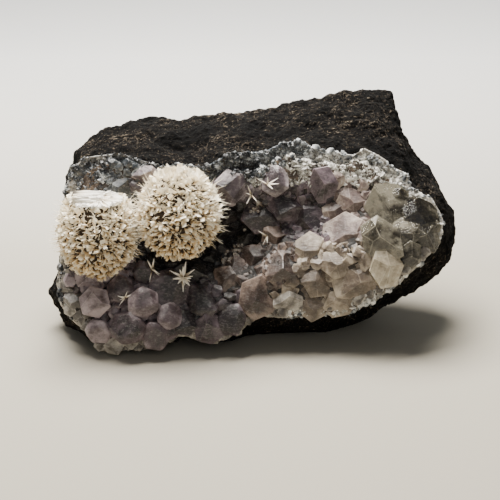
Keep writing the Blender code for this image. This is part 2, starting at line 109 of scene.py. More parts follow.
# The crystals that show best: place on the face, half width, reach above the bed,
# and how far the tip leans along x and y.
CRYSTALS = (
    (-61.5, 20, 4.2, 5, -0.2, 0.1), (-54.5, 19, 5.2, 6, 0, 0), (-57, 28, 5, 4.5, 0, -0.2),
    (-46, 23, 4.6, 5, 0.1, 0.2), (-38, 18.5, 5.2, 6.5, 0.1, 0.1), (-43, 10.5, 6.2, 7, 0, -0.1),
    (-53, 9, 4.6, 5, -0.2, -0.1), (-48.5, 4, 3.6, 3.5, -0.1, -0.3), (-34, 8, 5, 5.5, 0.2, -0.2),
    (-29, 14, 4.4, 5, 0.2, 0.1), (-29, 23, 6.4, 7, 0.1, 0.2), (-18, 19, 6.6, 6.5, 0, 0.1),
    (-23.5, 12, 4.4, 4.5, 0, 0), (-15, 10, 5.2, 5.5, 0.1, -0.2), (-7.5, 13, 5, 5.5, 0, -0.1),
    (-20, 29, 4.6, 4.5, 0, 0.3), (-38, 29, 4.2, 4.5, 0.1, 0.2), (-10, 26, 4.4, 5, -0.2, 0.2),
    (-36.5, 62.5, 5, 4.5, 0, -0.1), (-54, 61, 4.4, 3.5, 0, 0), (-63, 54, 3.6, 3.5, -0.2, 0),
    (-45, 59.5, 3.8, 3.5, 0, 0), (-7.5, 59.5, 5, 6, 0.1, -0.2), (-15, 62, 3.8, 4, 0, 0),
    (0.5, 62, 4, 4.5, 0, 0), (8, 61.5, 4.4, 5, 0, 0), (16, 62, 4, 4.5, 0, 0),
    (25, 60, 5.8, 6.5, 0, -0.2), (12, 53, 5.2, 6, 0.1, 0.1), (3.5, 49.5, 5.6, 6.5, 0.1, 0.1),
    (21, 48, 5.4, 5.5, -0.2, 0.1), (30, 51, 4.8, 5.5, -0.2, 0), (-1, 42, 4.2, 5, 0, 0.2),
    (9, 41.5, 5, 6, 0, 0), (0.5, 34, 4.8, 6.5, -0.2, 0.2), (-6, 29.5, 4.8, 6.5, -0.3, 0.2),
    (11.5, 31, 6.2, 6.5, 0, 0.2), (20, 37.5, 5.2, 5, 0, 0), (2, 20.5, 5.8, 6, 0, -0.1),
    (12.5, 19, 5.2, 5.5, 0, -0.1), (22.5, 27.5, 6.2, 6, 0, 0), (21, 17.5, 4.6, 5.5, 0, -0.2),
    (30.5, 18.5, 5, 5, 0.1, -0.2), (36, 26, 7.4, 8, 0.1, -0.1), (32, 42.5, 6.4, 5.5, -0.1, 0.1),
    (36, 54.5, 5.4, 5.5, 0, 0), (45, 40, 7.2, 9, -0.1, 0.1), (46, 31, 6, 8, 0.2, -0.1),
    (48, 52, 6.6, 6.5, 0.1, 0), (58.5, 49, 5.6, 6, 0.2, 0.1), (60, 41.5, 5, 5.5, 0.3, 0),
    (54, 35, 4.6, 5.5, 0.2, -0.2), (45, 60.5, 4.2, 4, 0, 0), (-14.5, 34.5, 3.8, 4, 0.1, 0.2),
    (-8, 50.5, 4, 4, 0.1, -0.1), (-10, 44, 3.4, 3.5, 0.1, 0), (-28.5, 32, 3.4, 3.5, 0, 0.2),
    (29.5, 32.5, 5, 5.5, 0, 0.1), (53, 43.5, 4.6, 6, 0.1, 0),
)
# Crystals are rooted this far under the bed.
FOOT_DEPTH = 2.5

# The zones of colour on the face: middle and half sizes. A crystal belongs to the nearest.
ZONES = {
    "lilac": ((-46, 14), (22, 15)),
    "dusk": ((-20, 20), (13, 9)),
    "hollow": ((-17, 38), (20, 12)),
    "grey": ((-55, 62), (13, 8)),
    "upper": ((-16, 61), (24, 5)),
    "violet": ((16, 51), (15, 10)),
    "rose": ((3, 32), (14, 10)),
    "blush": ((34, 50), (8, 9)),
    "pale": ((31, 24), (21, 15)),
    "clear": ((56, 45), (11, 16)),
    "bright": ((47, 30.5), (4.5, 5.5)),
}
# How each zone's crystals grew: their habits, the half width of the small ones between, and
# how much wider and shorter they are than the solids show, so that they grow together.
HABITS = {
    "lilac": (("cobble", "table"), 2.4, 1.12, 0.95),
    "dusk": (("cobble", "table"), 2.4, 1.15, 0.75),
    "hollow": (("point",), 2.2, 1.2, 0.80),
    "grey": (("block",), 1.3, 1.2, 0.50),
    "upper": (("table", "cobble"), 2.0, 1.25, 0.60),
    "violet": (("table", "block"), 1.8, 1.25, 0.50),
    "rose": (("block", "point"), 1.8, 1.25, 0.45),
    "blush": (("block",), 2.3, 1.25, 0.40),
    "pale": (("block",), 2.4, 1.25, 0.38),
    "clear": (("block",), 2.4, 1.35, 0.60),
    "bright": (("block",), 2.8, 1.3, 0.60),
    "hem": (("table", "block"), 1.9, 1.15, 0.60),
}
# Zones whose crystals are fused: their tones are closer, with little painted shade between them.
FUSED_ZONES = ("rose", "blush", "pale", "bright", "hem")
# The hem is the paler band at the lower and left broken edges: its width, and the direction
# from FACE_MIDDLE, in radians, past which it starts again on the left.
HEM = 5.5
HEM_START = 2.8

# Width of the sugary band inside the broken edge, by direction from FACE_MIDDLE in degrees.
SUGAR_BAND = (
    (-180, 2.4), (-165, 2.4), (-155, 1.2), (-66, 1.2), (-55, 3.5), (-15, 3.5), (0, 1.4),
    (14, 3), (25, 9), (34, 16), (50, 15), (64, 14), (85, 10), (100, 8),
    (120, 4.5), (137, 3.5), (147, 3.5), (151, 10), (158, 11), (168, 6), (175, 2),
    (180, 1.2),
)

# The needle balls: middle and half sizes.
BALLS = {
    "left": (Vector((-53.8, 44, 3.5)), Vector((13.2, 16.8, 12.5))),
    "right": (Vector((-25.4, 50, 4.5)), Vector((14, 16, 13))),
}
# The left ball is broken off level, this far above its middle.
BREAK_HEIGHT = 11.6
SPRAY_COUNT = 7


def srgb(code):
    """A #rrggbb colour as linear values with alpha 1."""
    parts = [int(code[place:place + 2], 16) / 255 for place in (1, 3, 5)]
    return [c / 12.92 if c <= 0.04045 else ((c + 0.055) / 1.055) ** 2.4 for c in parts] + [1.0]


def per_metre(size_mm):
    """The scale of a pattern on Object coordinates whose features are size_mm long."""
    return 1 / (size_mm * MM)


def feed(tree, made, inputs):
    """Sets a node's inputs, by name or number, to sockets, numbers or hex colours."""
    for name, value in inputs.items():
        if isinstance(value, bpy.types.NodeSocket):
            tree.links.new(value, made.inputs[name])
        else:
            made.inputs[name].default_value = srgb(value) if isinstance(value, str) else value


def node(tree, kind, inputs=None, stops=(), **settings):
    """Adds a shader node and gives its outputs. stops are a ramp's places and hex colours."""
    made = tree.nodes.new("ShaderNode" + kind)
    for name, value in settings.items():
        setattr(made, name, value)
    feed(tree, made, inputs or {})
    if stops:
        bands = made.color_ramp.elements
        while len(bands) < len(stops):
            bands.new(0.5)
        for band, (place, code) in zip(bands, stops):
            band.position = place
            band.color = srgb(code)
    return made.outputs


# Sizes of the finishes' patterns and of their relief, in millimetres. Fibres and threads are
# finer on the real stone, and are as coarse here as they need to be to show.
LEVEL_FIBRE, STEEP_FIBRE, ROCK_PATCH, ROCK_RELIEF = 0.9, 0.8, 14.0, 1.2
SPECKLE, RIND_PATCH, RIND_RELIEF = 1.1, 7.0, 0.8
VEIL, THREAD, QUARTZ_RELIEF = 4.5, 0.8, 0.4
STAIN_PATCH, NEEDLE_GRAIN, NEEDLE_RELIEF = 5.0, 0.5, 0.25
BOARD_GRAIN, BOARD_RELIEF = 2.0, 0.02

# A Mix node's inputs and output for colours.
SHARE, UNDER, OVER = 0, 6, 7
MIXED = 2
# Noise as it is mostly used: soft patches.
SOFT = {"Detail": 3.0, "Roughness": 0.6}


def start_finish(name):
    """A material, the function that adds a node to it, and its Object coordinates."""
    made = bpy.data.materials.new(name)
    made.use_nodes = True
    add = functools.partial(node, made.node_tree)
    return made, add, add("TexCoord")["Object"]


def end_finish(made, inputs, height, height_mm):
    """Feeds the material's shader, with a bump whose relief is height_mm."""
    tree = made.node_tree
    bump = node(tree, "Bump", {"Strength": 1.0, "Distance": height_mm * MM, "Height": height})
    feed(tree, tree.nodes["Principled BSDF"], {**inputs, "Normal": bump["Normal"]})
    return made


def broken_basalt():
    """Broken basalt: matte, nearly black, with brown and grey fibres that catch the light."""
    made, add, place = start_finish("broken_basalt")
    fibres = []
    for squeeze, size in (((0.4, 1.0, 1.0), LEVEL_FIBRE), ((1.0, 1.0, 0.4), STEEP_FIBRE)):
        run = add("Mapping", {"Vector": place, "Scale": squeeze})["Vector"]
        pattern = {"Vector": run, "Scale": per_metre(size), "Detail": 4.0, "Roughness": 0.75}
        fibres.append(add("TexNoise", pattern)["Fac"])
    fibre = add("Math", dict(enumerate(fibres)), operation="MAXIMUM")[0]
    patch = add("TexNoise", {"Vector": place, "Scale": per_metre(ROCK_PATCH), **SOFT})["Fac"]
    lit = add("Math", {0: patch, 1: 0.3, 2: fibre}, operation="MULTIPLY_ADD")[0]
    rock = add("ValToRGB", {"Fac": lit}, (
        (0.65, "#010101"), (0.72, "#0a0908"), (0.78, "#211c17"), (0.84, "#62584b"),
        (0.93, "#b4ac9b"),
    ))["Color"]
    shade = {"Base Color": rock, "Roughness": 0.95, "Specular IOR Level": 0.12}
    return end_finish(made, shade, fibre, ROCK_RELIEF)


def sugary_rind():
    """Chalcedony under sugary quartz: waxy blue-grey at the rock, white grains at the crystals."""
    made, add, place = start_finish("sugary_rind")
    growth = add("SeparateColor", {"Color": add("Attribute", attribute_name="growth")["Color"]})
    inward, cream = growth["Red"], growth["Green"]
    speckle = add("TexNoise", {
        "Vector": place, "Scale": per_metre(SPECKLE), "Detail": 5.0, "Roughness": 0.75,
    })["Fac"]
    waxy = add("ValToRGB", {"Fac": speckle}, (
        (0.38, "#0d1116"), (0.48, "#303a46"), (0.56, "#66727f"), (0.66, "#dfe3e4"),
    ))["Color"]
    white = add("ValToRGB", {"Fac": speckle}, (
        (0.38, "#242322"), (0.48, "#8b8983"), (0.58, "#f4f2ec"),
    ))["Color"]
    patch = add("TexNoise", {"Vector": place, "Scale": per_metre(RIND_PATCH), **SOFT})["Fac"]
    patchy = add("Math", {0: inward, 1: patch}, operation="ADD")[0]
    whitish = add("Math", {0: patchy, 1: 0.5}, operation="SUBTRACT")[0]
    layers = add("Mix", {SHARE: whitish, UNDER: waxy, OVER: white}, data_type="RGBA")[MIXED]
    warmth = add("Math", {0: cream, 1: 0.6}, operation="MULTIPLY")[0]
    warm = add("Mix", {SHARE: warmth, UNDER: layers, OVER: "#b9ae9b"}, data_type="RGBA")[MIXED]
    shade = {"Base Color": warm, "Roughness": 0.35, "IOR": 1.54, "Transmission Weight": 0.12}
    return end_finish(made, shade, speckle, RIND_RELIEF)


# In quartz: the value of the veils that leaves the tone as it is and how strongly the others
# change it, and how much lighter a crystal is at its rim.
VEIL_MIDDLE = 0.57
VEIL_CONTRAST = 1.7
RIM_LIGHT = 0.42


def quartz(name, deep, middle, bright, see_through, roughness=0.22, milk="#d8d0c6", edges=0.16):
    """Crystal of one zone: glassy and hazy faces, milky flecks, tone from crystal to crystal, and a
    painted highlight on its bevelled edges.
    """
    made, add, place = start_finish(name)
    growth = add("SeparateColor", {"Color": add("Attribute", attribute_name="growth")["Color"]})
    veils = add("TexNoise", {
        "Vector": place, "Scale": per_metre(VEIL), "Detail": 6.0, "Roughness": 0.7,
    })["Fac"]
    rim = add("Math", {0: growth["Green"], 1: 3.0}, operation="POWER")[0]
    tone = growth["Red"]
    # growth's blue marks bevelled edges, which edges lightens as a painted highlight.
    for part, share in ((veils, VEIL_CONTRAST), (rim, RIM_LIGHT), (growth["Blue"], edges)):
        tone = add("Math", {0: part, 1: share, 2: tone}, operation="MULTIPLY_ADD")[0]
    tone = add("Math", {0: tone, 1: VEIL_MIDDLE * VEIL_CONTRAST}, operation="SUBTRACT")[0]
    body = add("ValToRGB", {"Fac": tone}, ((0.10, deep), (0.50, middle), (0.95, bright)))["Color"]
    run = add("Mapping", {"Vector": place, "Scale": (0.55, 1.0, 1.2)})["Vector"]
    threads = add("TexNoise", {
        "Vector": run, "Scale": per_metre(THREAD), "Detail": 4.0, "Roughness": 0.8,
    })["Fac"]
    flecks = add("MapRange", {
        "Value": threads, "From Min": 0.52, "From Max": 0.76, "To Max": 0.30,
    })["Result"]
    hazed = add("Mix", {SHARE: flecks, UNDER: body, OVER: milk}, data_type="RGBA")[MIXED]
    worn = add("Math", {0: threads, 1: 0.25, 2: roughness}, operation="MULTIPLY_ADD")[0]
    relief = add("Math", {0: threads, 1: 0.45, 2: veils}, operation="MULTIPLY_ADD")[0]
    shade = {
        "Base Color": hazed, "Roughness": worn, "IOR": 1.544, "Transmission Weight": see_through,
    }
    return end_finish(made, shade, relief, QUARTZ_RELIEF)


# In zeolite: how strongly patches of stain and a needle's own tone change its colour.
# On the balls that tone holds painted light above and painted shade below.
STAIN = 0.7
NEEDLE_TONE_AND_LIGHT = 0.45


def silky_zeolite(name, foot, middle, tip):
    """Needles of zeolite: cream white at the tips; ochre at the foot, partly stain and partly painted
    shade among the needles; whiter with a needle's tone, on the balls painted light.
    """
    made, add, place = start_finish(name)
    growth = add("SeparateColor", {"Color": add("Attribute", attribute_name="growth")["Color"]})
    patch = add("TexNoise", {"Vector": place, "Scale": per_metre(STAIN_PATCH), **SOFT})["Fac"]
    along = growth["Green"]
    for part, share in ((patch, STAIN), (growth["Red"], NEEDLE_TONE_AND_LIGHT)):
        along = add("Math", {0: part, 1: share, 2: along}, operation="MULTIPLY_ADD")[0]
    along = add("Math", {0: along, 1: 0.5 * (STAIN + NEEDLE_TONE_AND_LIGHT)}, operation="SUBTRACT")[0]
    # Darkest at the foot and core: ochre stain together with painted shade deep among the needles.
    body = add("ValToRGB", {"Fac": along}, (
        (0.0, "#2e2010"), (0.15, foot), (0.42, middle), (0.80, tip),
    ))["Color"]
    # A high tone whitens a needle: on the balls this is a painted highlight on their upper side.
    pale_and_lit_share = add("Math", {0: growth["Red"], 1: 0.25}, operation="MULTIPLY")[0]
    toned = add("Mix", {SHARE: pale_and_lit_share, UNDER: body, OVER: "#fff5df"}, data_type="RGBA")[MIXED]
    grain = add("TexNoise", {"Vector": place, "Scale": per_metre(NEEDLE_GRAIN), **SOFT})["Fac"]
    return end_finish(made, {"Base Color": toned, "Roughness": 0.62}, grain, NEEDLE_RELIEF)


def matte_board():
    """Matte pale board, warm grey at the front and cooler at the back, where painted light makes it
    paler.
    """
    made, add, place = start_finish("matte_board")
    back = add("SeparateXYZ", {"Vector": place})["Y"]
    # Paler toward the back: painted light on the sweep behind, besides the cooler grey.
    colour = add("ValToRGB", {"Fac": back}, ((0.05, "#9d988c"), (0.45, "#dcdcda")))["Color"]
    grain = add("TexNoise", {"Vector": place, "Scale": per_metre(BOARD_GRAIN), **SOFT})["Fac"]
    shade = {"Base Color": colour, "Roughness": 0.9, "Specular IOR Level": 0.2}
    return end_finish(made, shade, grain, BOARD_RELIEF)


# The quartz of each zone: its deep, middle and bright colours, how see-through it is and,
# where it isn't as elsewhere, its roughness, its milky flecks and the painted highlight on its
# bevelled edges.
ZONE_QUARTZ = {
    # Amethyst, darker toward the hollow: hazy grey-violet crystals, dark in the gaps.
    "lilac": ("lilac_amethyst", "#151012", "#54464a", "#a99a9d", 0.15),
    "dusk": ("dusky_amethyst", "#060405", "#241c20", "#66585e", 0.15),
    # Amethyst of the hollow: nearly black, dark crystal deepened with painted shade of the hollow,
    # with dull glints.
    "hollow": ("dark_amethyst", "#030303", "#100e0f", "#352e2c", 0.3),
    # Fine quartz on chalcedony: cold blue-grey.
    "grey": ("blue_grey_quartz", "#0d1115", "#3a4147", "#9da2a2", 0.2),
    # Amethyst above the hollow: grey lilac, then deep violet in its bowl.
    "upper": ("grey_lilac_amethyst", "#171218", "#52474c", "#b5aaaa", 0.15),
    "violet": ("violet_amethyst", "#090608", "#261b22", "#7a6a70", 0.15),
    # Iron-stained quartz: warm rose-brown, and a paler blush of it.
    "rose": ("rose_brown_quartz", "#140d0a", "#40312a", "#9a8679", 0.25),
    "blush": ("blush_quartz", "#2a211f", "#6c5a55", "#c6b7aa", 0.15),
    # Milky quartz: cream grey and soft.
    "pale": ("cream_quartz", "#2a2119", "#6e6051", "#bfb19c", 0.25),
    # Clear quartz: glassy, grey-green in its depth, with a strong painted highlight on its bevelled
    # edges.
    "clear": ("clear_quartz", "#0a0806", "#363127", "#b0a995", 0.6, 0.05, "#8d8674", 0.36),
    # Milky quartz, painted nearly white with the glint of its clean faces.
    "bright": ("bright_quartz", "#776b57", "#c2b69e", "#fffaec", 0.25, 0.1),
    # Weathered quartz at the broken edge: pale grey.
    "hem": ("pale_edge_quartz", "#211e1b", "#625c55", "#c9c2b6", 0.15),
    # Fresh crystal edges: thin and bright.
    "ridge": ("bright_edge_quartz", "#4a3d34", "#85776a", "#ddd4c6", 0.3, 0.12),
}
# Quartz without crystal faces: the dull brown floor of the crust, darkened with painted shade in the
# gaps between crystals, and the white and the bluish grains of the broken edge, which sparkle.
FLOOR_QUARTZ = ("crust_floor_quartz", "#080504", "#463a30", "#a38e78", 0.0, 0.5, "#806e5d")
WHITE_SUGAR = ("sugar_quartz", "#3b3933", "#aeaba1", "#fbf9f2", 0.15)
BLUE_SUGAR = ("blue_sugar_quartz", "#0d1116", "#4d5358", "#d3d6d6", 0.15)
# Zeolite of the balls, of the fresh break, which is chalk white, and of the duller sprays:
# the colours of a needle's foot, middle and tip.
BALL_ZEOLITE = ("silky_zeolite", "#a0783f", "#edd3a2", "#fff7e2")
BREAK_ZEOLITE = ("broken_zeolite", "#d8ccb8", "#f4eee2", "#fffdf8")
SPRAY_ZEOLITE = ("spray_zeolite", "#9c8c72", "#e4dac8", "#faf6ee")


def held(value):
    """The value, held between 0 and 1."""
    return max(0.0, min(1.0, value))


@functools.lru_cache(maxsize=None)
def rim_reach(angle):
    """Distance from FACE_MIDDLE to the crust's broken edge, in the direction of angle."""
    tiny = 1e-6
    ray = Vector((math.cos(angle), math.sin(angle)))
    farthest = 0.0
    for start, end in zip(CRUST_OUTLINE, CRUST_OUTLINE[1:] + CRUST_OUTLINE[:1]):
        a = Vector(start) - FACE_MIDDLE
        side = Vector(end) - FACE_MIDDLE - a
        across = ray.x * side.y - ray.y * side.x
        if abs(across) < tiny * 1e-3:
            continue
        along_side = (a.x * ray.y - a.y * ray.x) / across
        along_ray = (a.x * side.y - a.y * side.x) / across
        if -tiny <= along_side <= 1 + tiny and along_ray > farthest:
            farthest = along_ray
    return farthest


def crust_limit(angle):
    """Distance from FACE_MIDDLE to where the crust stops and the bare rind shows."""
    upward = max(0.0, math.sin(angle)) ** 0.5
    return rim_reach(angle) - SIDE_BAND - (TOP_BAND - SIDE_BAND) * upward


@functools.lru_cache(maxsize=None)
def crystal_limit(angle):
    """Distance from FACE_MIDDLE to where the crystals stop and the sugary band starts."""
    turned = max(-180.0, min(180.0, math.degrees(angle)))
    for (start, width), (end, next_width) in zip(SUGAR_BAND, SUGAR_BAND[1:]):
        if start <= turned <= end:
            share = (turned - start) / (end - start)
            band = width + (next_width - width) * share
    return min(crust_limit(angle), rim_reach(angle) - band)


def polar(x, y):
    """The rounded angle, and the distance, of a place on the face, seen from FACE_MIDDLE."""
    out = Vector((x, y)) - FACE_MIDDLE
    return round(math.atan2(out.y, out.x), 3), out.length


def bed(x, y):
    """Height of the bed that the crystals stand on."""
    height = 0.0
    for (cx, cy), (wide, tall), turn, rise in FACE_FORMS:
        cos, sin = math.cos(math.radians(turn)), math.sin(math.radians(turn))
        u = ((x - cx) * cos + (y - cy) * sin) / wide
        v = ((y - cy) * cos - (x - cx) * sin) / tall
        height += rise * math.exp(-(u * u + v * v))
    return height


def rind_back(x, y):
    """Height of the rind's inner side, on the rock."""
    angle, distance = polar(x, y)
    share = min(1.0, distance / rim_reach(angle))
    return bed(x, y) - MIDDLE_DEPTH + (MIDDLE_DEPTH - RIM_DEPTH) * share * share + GAP


def rind_front(x, y):
    """Height of the bare rind."""
    return rind_back(x, y) + RIND_THICKNESS


def ground(x, y):
    """Height of the surface between the crystals: the crust's floor, or the bare rind."""
    angle, distance = polar(x, y)
    if distance > crust_limit(angle):
        return rind_front(x, y)
    return max(bed(x, y), rind_front(x, y) + LEAST_BED)


def leaning(rng, x, y, lean):
    """The bed's outward direction, tipped at random by up to lean each way."""
    step = 0.5
    rise_x, rise_y = bed(x - step, y) - bed(x + step, y), bed(x, y - step) - bed(x, y + step)
    tip = Vector((rng.uniform(-lean, lean), rng.uniform(-lean, lean), 0.0))
    return Vector((rise_x, rise_y, 2 * step)).normalized() + tip


def zone_at(x, y, jitter=0.0):
    """The zone of a place: the paler hem at the broken edge, or the one whose middle is nearest."""
    angle, distance = polar(x, y)
    if (angle < 0 or angle > HEM_START) and rim_reach(angle) - distance < HEM + jitter:
        return "hem"

    def apart(name):
        (cx, cy), (wide, tall) = ZONES[name]
        return math.hypot((x + jitter - cx) / wide, (y - cy) / tall)

    return min(ZONES, key=apart)


def new_object(name, bm):
    """An object with the bmesh as its mesh, in the scene."""
    mesh = bpy.data.meshes.new(name)
    bm.to_mesh(mesh)
    bm.free()
    obj = bpy.data.objects.new(name, mesh)
    bpy.context.scene.collection.objects.link(obj)
    return obj


def piece(name, bm, finish, slot, *nodes):
    """The bmesh, drawn on the flat face, as a standing piece that replaces CAD nodes."""
    bmesh.ops.transform(bm, matrix=FACE, verts=bm.verts)
    obj = new_object(name, bm)
    obj.data.materials.append(finish)
    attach(obj, "root")
    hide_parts(*nodes)
    return obj


def growth_layer(bm):
    """The colours that tell a finish the tone of each part, the way to its tip, and its edges."""
    return bm.loops.layers.float_color.new("growth")


def paint(bm, growth):
    """Gives the corners of faces the growth colours that a function has for their x and y."""
    tones = growth_layer(bm)
    for face in bm.faces:
        for loop in face.loops:
            loop[tones] = growth(loop.vert.co.x, loop.vert.co.y)


def relax(bm, chosen, rounds):
    """Smooths the vertices whose places are chosen."""
    for _ in range(rounds):
        bmesh.ops.smooth_vert(
            bm, verts=[v for v in bm.verts if chosen(v.co)], factor=0.5,
            use_axis_x=True, use_axis_y=True, use_axis_z=True,
        )


def layer(segments, rings, outer, upper, lower, crowd=1.0):
    """A closed layer over the face out to outer(angle). crowd below 1 crowds rings at its edge."""
    bm = bmesh.new()
    bmesh.ops.create_uvsphere(bm, u_segments=segments, v_segments=2 * rings, radius=1.0)
    rim_width = 1e-3
    for vert in bm.verts:
        angle = round(math.atan2(vert.co.y, vert.co.x), 3)
        share = math.acos(max(-1.0, min(1.0, vert.co.z))) / math.pi
        across = max(0.0, 1 - abs(1 - 2 * share)) ** crowd
        x, y = FACE_MIDDLE + Vector((math.cos(angle), math.sin(angle))) * outer(angle) * across
        if share < 0.5 - rim_width:
            height = upper(x, y)
        elif share > 0.5 + rim_width:
            height = lower(x, y)
        else:
            height = (upper(x, y) + lower(x, y)) / 2
        vert.co = (x, y, height)
    bmesh.ops.recalc_face_normals(bm, faces=bm.faces)
    return bm


# The rock's skin: the step of its even mesh, the height over the base from which it is
# smoothed, the x and height past which its upper right corner is rounded, and how many
# rounds of smoothing each takes. Then the size and height of its lumps and crumbs.
SKIN_STEP = 0.85
SKIN_START, SKIN_ROUNDS = 2.0, 5
CORNER_X, CORNER_HEIGHT, CORNER_ROUNDS = 40.0, 68.0, 30
LUMP_SIZE, LUMP_HEIGHT = 7.0, 1.3
CRUMB_SIZE, CRUMB_HEIGHT = 2.0, 0.55


def make_rock(finish):
    """The rock: the solid's own shape, with a broken, crumbly skin and its flat base kept."""
    bm = bmesh.new()
    bm.from_mesh(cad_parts["basalt_matrix"].data)
    bmesh.ops.remove_doubles(bm, verts=bm.verts, dist=1e-6)
    core = new_object("rock_core", bm)
    remesh = core.modifiers.new("even_skin", "REMESH")
    remesh.mode = "VOXEL"
    remesh.voxel_size = SKIN_STEP * MM
    graph = bpy.context.evaluated_depsgraph_get()
    bm = bmesh.new()
    bm.from_mesh(core.evaluated_get(graph).to_mesh())
    bpy.data.objects.remove(core)
    relax(bm, lambda co: co.z > SKIN_START * MM, SKIN_ROUNDS)
    relax(bm, lambda co: co.x > CORNER_X * MM and co.z > CORNER_HEIGHT * MM, CORNER_ROUNDS)
    bm.normal_update()
    to_face = FACE.inverted()
    for vert in bm.verts:
        spot = to_face @ vert.co
        free = held((vert.co.z / MM - 0.8) / 3.0)
        lumps = LUMP_HEIGHT * noise.fractal(spot / LUMP_SIZE, 1.0, 2.1, 3)
        crumbs = CRUMB_HEIGHT * noise.fractal(spot / CRUMB_SIZE, 0.8, 2.2, 3)
        vert.co += vert.normal * (lumps + crumbs) * free * MM
        vert.co.z = max(0.0, vert.co.z)
    bmesh.ops.transform(bm, matrix=to_face, verts=bm.verts)
    return piece("basalt_rock", bm, finish, "basalt", "basalt_matrix")


# Waves and beads of the rind: their size and height, and how far its edge is jagged.
WAVE_SIZE, WAVE_HEIGHT = 6.0, 0.9
BEAD_SIZE, BEAD_HEIGHT = 1.7, 0.7
JAG = 0.5
# The rind grows white to the right, from this x over this width.
WHITE_START, WHITE_WIDTH = 5.0, 25.0


def make_rind(finish):
    """The broken band around the crystals, from waxy chalcedony to sugary quartz."""

    def front(x, y):
        spot = Vector((x, y, 0.0))
        cells = noise.voronoi(spot / BEAD_SIZE)[0][0]
        wave = WAVE_HEIGHT * noise.noise(spot / WAVE_SIZE)
        return rind_front(x, y) + wave + BEAD_HEIGHT * (0.5 - cells)

    def edge(angle):
        around = Vector((math.cos(angle), math.sin(angle), 0.0)) * 14.0
        return rim_reach(angle) + JAG * noise.fractal(around, 0.9, 2.1, 4)

    def growth(x, y):
        angle, distance = polar(x, y)
        inward = held((rim_reach(angle) - distance) / TOP_BAND)
        right = held((x - WHITE_START) / WHITE_WIDTH)
        upper = max(0.0, math.sin(angle))
        return max(inward * 0.7, right * 0.8, 1 - upper * 3), 1 - upper, 0.0, 1.0

    bm = layer(620, 40, edge, front, rind_back, crowd=0.4)
    paint(bm, growth)
    return piece("chalcedony_band", bm, finish, "chalcedony", "chalcedony_rind")


# How light the floor between the crystals is, in the zones where it is not dark, in the
# others, and under the sugary grains. Its darkness between the crystals is painted shade.
FLOOR_TONES = {"pale": 0.25, "clear": 0.05, "blush": 0.25, "rose": 0.1, "grey": 0.3, "hem": 0.35}
SHADED_FLOOR_TONE = 0.1
SUGAR_FLOOR_TONE = 0.6
FLOOR_LUMP, FLOOR_LUMP_HEIGHT = 4.0, 0.8


def make_bed(finish):
    """The crust's own floor, which shows between the crystals."""

    def front(x, y):
        spot = Vector((x, y, 3.0)) / FLOOR_LUMP
        lump = FLOOR_LUMP_HEIGHT * noise.fractal(spot, 0.9, 2.1, 3)
        return max(bed(x, y), rind_front(x, y) + LEAST_BED) + lump

    def growth(x, y):
        angle, distance = polar(x, y)
        if distance > crystal_limit(angle) - 1.0:
            return SUGAR_FLOOR_TONE, 0.5, 0.0, 1.0
        # Dark floor between crystals: painted shade, lighter in the fused and pale zones.
        return FLOOR_TONES.get(zone_at(x, y), SHADED_FLOOR_TONE), 0.5, 0.0, 1.0

    bm = layer(240, 60, crust_limit, front, rind_back)
    paint(bm, growth)
    return piece("crust_floor", bm, finish, "amethyst", "amethyst_crust")


# A crystal's foot lies this far below its shoulder, in half widths, and what is above
# ABOVE_FOOT isn't part of the foot.
FOOT_LEVEL = 1.5
ABOVE_FOOT = 1e-3 - FOOT_LEVEL
# Habit: slope of the sloping faces, their unevenness, where a blunt face ends the tip,
# the width of the worn edges, and how often the shape is softened.
SHAPES = {
    "cobble": (35, 0.60, 0.52, 0.0, 1),
    "table": (36, 0.70, 0.50, 0.028, 0),
    "point": (42, 0.50, 1.00, 0.03, 0),
    "block": (25, 0.95, 0.90, 0.022, 0),
    "chip": (32, 1.00, 0.80, 0.0, 0),
}
SHAPES_PER_HABIT = 9


def upper_edges(bm):
    """The edges that aren't part of the foot."""
    return [edge for edge in bm.edges if max(v.co.z for v in edge.verts) > ABOVE_FOOT]


def cut_off(bm, point, normal):
    """Cuts off what lies beyond a plane, and gives the parts along the cut."""
    geom = list(bm.verts) + list(bm.edges) + list(bm.faces)
    return bmesh.ops.bisect_plane(
        bm, geom=geom, dist=1e-5, plane_co=point, plane_no=normal, clear_outer=True,
    )["geom_cut"]


def cut_face(bm, point, normal):
    """Cuts a flat face on a closed shape."""
    cut = cut_off(bm, point, normal)
    edges = [part for part in cut if isinstance(part, bmesh.types.BMEdge)]
    if edges:
        bmesh.ops.contextual_create(bm, geom=edges)


def keep_shape(name, bm):
    """A shape to plant many times: its mesh and its tip's height."""
    tip = max(vert.co.z for vert in bm.verts)
    mesh = bpy.data.meshes.new(name)
    bm.to_mesh(mesh)
    bm.free()
    return mesh, tip


